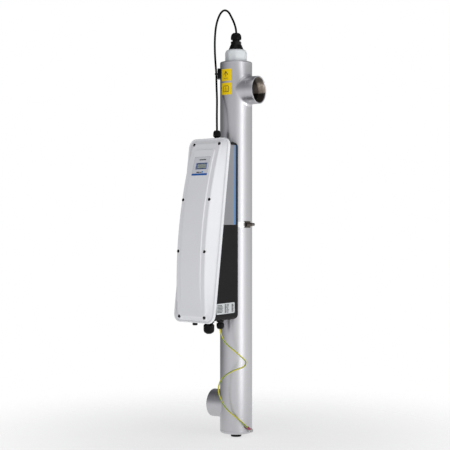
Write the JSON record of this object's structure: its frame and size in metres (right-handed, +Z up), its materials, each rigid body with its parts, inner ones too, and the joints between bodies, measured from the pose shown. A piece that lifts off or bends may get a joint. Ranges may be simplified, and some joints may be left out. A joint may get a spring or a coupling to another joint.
{
  "type": "tubular uv-c water steriliser",
  "caption": "Long stainless tube with side ports, sealed lamp under a screw nut, and a clamped-on box with a display.",
  "frame": {"origin": "tube axis at the tube's bottom face", "axes": "+Z up along the tube towards the lamp nut, -Y towards the box cover, upper port about +X"},
  "size_m": [0.1429, 0.1977, 1.0105],
  "materials": {
    "stainless": "satin brushed stainless",
    "cover_grey": "fine-grained light grey moulding",
    "base_black": "grained black moulding",
    "gland_black": "moulded black nylon",
    "nut_white": "white moulding",
    "quartz": "clear quartz",
    "lamp_glass": "clear lamp glass",
    "ceramic": "white lamp base",
    "brass": "turned brass",
    "rubber": "black rubber",
    "cable_black": "black cable sheath",
    "wire_green": "yellow and green insulation",
    "tinned": "tinned copper",
    "zinc": "zinc plated screw",
    "sticker_yellow": "printed vinyl",
    "label_grey": "printed film",
    "label_white": "printed film",
    "window": "clear window",
    "lcd": "display glass",
    "board": "circuit board",
    "ballast_case": "white case"
  },
  "bodies": {
    "frame": {"reactor_tube": "stainless", "upper_port_socket": "stainless", "lower_port_socket": "stainless", "top_end_plate": "stainless", "bottom_end_plate": "stainless", "earth_boss": "stainless", "ring_terminal": "tinned", "quartz_sleeve": "quartz", "sleeve_o_ring": "rubber", "thrust_washer": "nut_white", "box_gland_body": "gland_black", "mains_gland_body": "gland_black", "earth_gland_body": "gland_black", "mains_gland_locknut": "gland_black", "small_gland_locknuts": "gland_black", "blanking_plug": "gland_black", "clamp_band": "stainless", "clamp_housing": "stainless", "box_base": "base_black", "mounting_saddle": "base_black", "saddle_screws": "zinc", "ballast": "ballast_case", "ballast_screws": "zinc", "terminal_block": "nut_white", "internal_leads": "cable_black", "lamp_cable": "cable_black", "earth_wire": "wire_green", "cable_clip": "gland_black", "cable_tie": "gland_black", "tube_stickers": "sticker_yellow", "side_label": "label_grey", "rating_label": "label_white"},
    "cover": {"box_cover": "cover_grey", "cover_gasket": "rubber", "timer_label": "label_grey", "display_window": "window", "lcd_module": "lcd", "timer_board": "board"},
    "cover_screws": {"cover_screws": "zinc"},
    "lamp_carrier": {"lamp_holder": "gland_black", "lamp_socket": "ceramic", "uv_lamp": "lamp_glass", "lamp_bases": "ceramic", "lamp_pins": "brass", "lamp_gland_body": "gland_black"},
    "lamp_nut": {"lamp_nut": "nut_white"},
    "lamp_seal": {"lamp_gland_seal": "rubber"},
    "lamp_gland_nut": {"lamp_gland_nut": "gland_black"},
    "box_seal": {"box_gland_seal": "rubber"},
    "box_gland_nut": {"box_gland_nut": "gland_black"},
    "mains_seal": {"mains_gland_seal": "rubber", "mains_gland_blank": "gland_black"},
    "mains_gland_nut": {"mains_gland_nut": "gland_black"},
    "earth_seal": {"earth_gland_seal": "rubber"},
    "earth_gland_nut": {"earth_gland_nut": "gland_black"},
    "drain_seal": {"drain_o_ring": "rubber"},
    "drain_plug": {"drain_plug": "gland_black"},
    "earth_washer": {"earth_washer": "zinc"},
    "earth_screw": {"earth_screw": "zinc"},
    "clamp_screw": {"clamp_screw": "zinc"}
  },
  "joints": [
    {"name": "cover_off", "type": "slide", "parent": "frame", "child": "cover", "axis": [0, -0.9919, 0.1266], "range_m": [0, 0.1]},
    {"name": "cover_screws_out", "type": "slide", "parent": "cover", "child": "cover_screws", "axis": [0, -0.9919, 0.1266], "range_m": [0, 0.012]},
    {"name": "lamp_nut_lift", "type": "slide", "parent": "frame", "child": "lamp_carrier", "axis": [0, 0, 1], "range_m": [0, 0.0125], "deforming": ["lamp_cable"]},
    {"name": "lamp_nut_turn", "type": "hinge", "parent": "lamp_carrier", "child": "lamp_nut", "pos_m": [0, 0, 0.89], "axis": [0, 0, 1], "range_deg": [0, 1810]},
    {"name": "lamp_gland_lift", "type": "slide", "parent": "lamp_carrier", "child": "lamp_seal", "axis": [0, 0, 1], "range_m": [0, 0.0045]},
    {"name": "lamp_gland_turn", "type": "hinge", "parent": "lamp_seal", "child": "lamp_gland_nut", "pos_m": [0, 0, 0.93], "axis": [0, 0, 1], "range_deg": [0, 1090]},
    {"name": "box_gland_lift", "type": "slide", "parent": "frame", "child": "box_seal", "axis": [0, 0, 1], "range_m": [0, 0.0045]},
    {"name": "box_gland_turn", "type": "hinge", "parent": "box_seal", "child": "box_gland_nut", "pos_m": [0, -0.066, 0.7], "axis": [0, 0, 1], "range_deg": [0, 1090]},
    {"name": "mains_gland_lift", "type": "slide", "parent": "frame", "child": "mains_seal", "axis": [0, 0, -1], "range_m": [0, 0.006]},
    {"name": "mains_gland_turn", "type": "hinge", "parent": "mains_seal", "child": "mains_gland_nut", "pos_m": [0, -0.093, 0.25], "axis": [0, 0, -1], "range_deg": [0, 1450]},
    {"name": "earth_gland_lift", "type": "slide", "parent": "frame", "child": "earth_seal", "axis": [0, 0, -1], "range_m": [0, 0.0045]},
    {"name": "earth_gland_turn", "type": "hinge", "parent": "earth_seal", "child": "earth_gland_nut", "pos_m": [0.038, -0.095, 0.26], "axis": [0, 0, -1], "range_deg": [0, 1090]},
    {"name": "drain_plug_lift", "type": "slide", "parent": "frame", "child": "drain_seal", "axis": [0, 0, -1], "range_m": [0, 0.01088]},
    {"name": "drain_plug_turn", "type": "hinge", "parent": "drain_seal", "child": "drain_plug", "pos_m": [0, 0, 0], "axis": [0, 0, -1], "range_deg": [0, 2170]},
    {"name": "earth_screw_lift", "type": "slide", "parent": "frame", "child": "earth_washer", "axis": [0.9962, 0.0872, 0], "range_m": [0, 0.0032]},
    {"name": "earth_screw_turn", "type": "hinge", "parent": "earth_washer", "child": "earth_screw", "pos_m": [0.04383, 0.00383, 0.009], "axis": [0.9962, 0.0872, 0], "range_deg": [0, 1450]},
    {"name": "clamp_screw_turn", "type": "hinge", "parent": "frame", "child": "clamp_screw", "pos_m": [0.04237, -0.00445, 0.4922], "axis": [0.1045, 0.9945, 0], "continuous": true}
  ],
  "couplings": [
    {"joint": "lamp_nut_turn", "follows": "lamp_nut_lift", "rad_per_m": 2513.3},
    {"joint": "lamp_gland_turn", "follows": "lamp_gland_lift", "rad_per_m": 4188.8},
    {"joint": "box_gland_turn", "follows": "box_gland_lift", "rad_per_m": 4188.8},
    {"joint": "mains_gland_turn", "follows": "mains_gland_lift", "rad_per_m": 4188.8},
    {"joint": "earth_gland_turn", "follows": "earth_gland_lift", "rad_per_m": 4188.8},
    {"joint": "drain_plug_turn", "follows": "drain_plug_lift", "rad_per_m": 3463.7},
    {"joint": "earth_screw_turn", "follows": "earth_screw_lift", "rad_per_m": 7854}
  ]
}
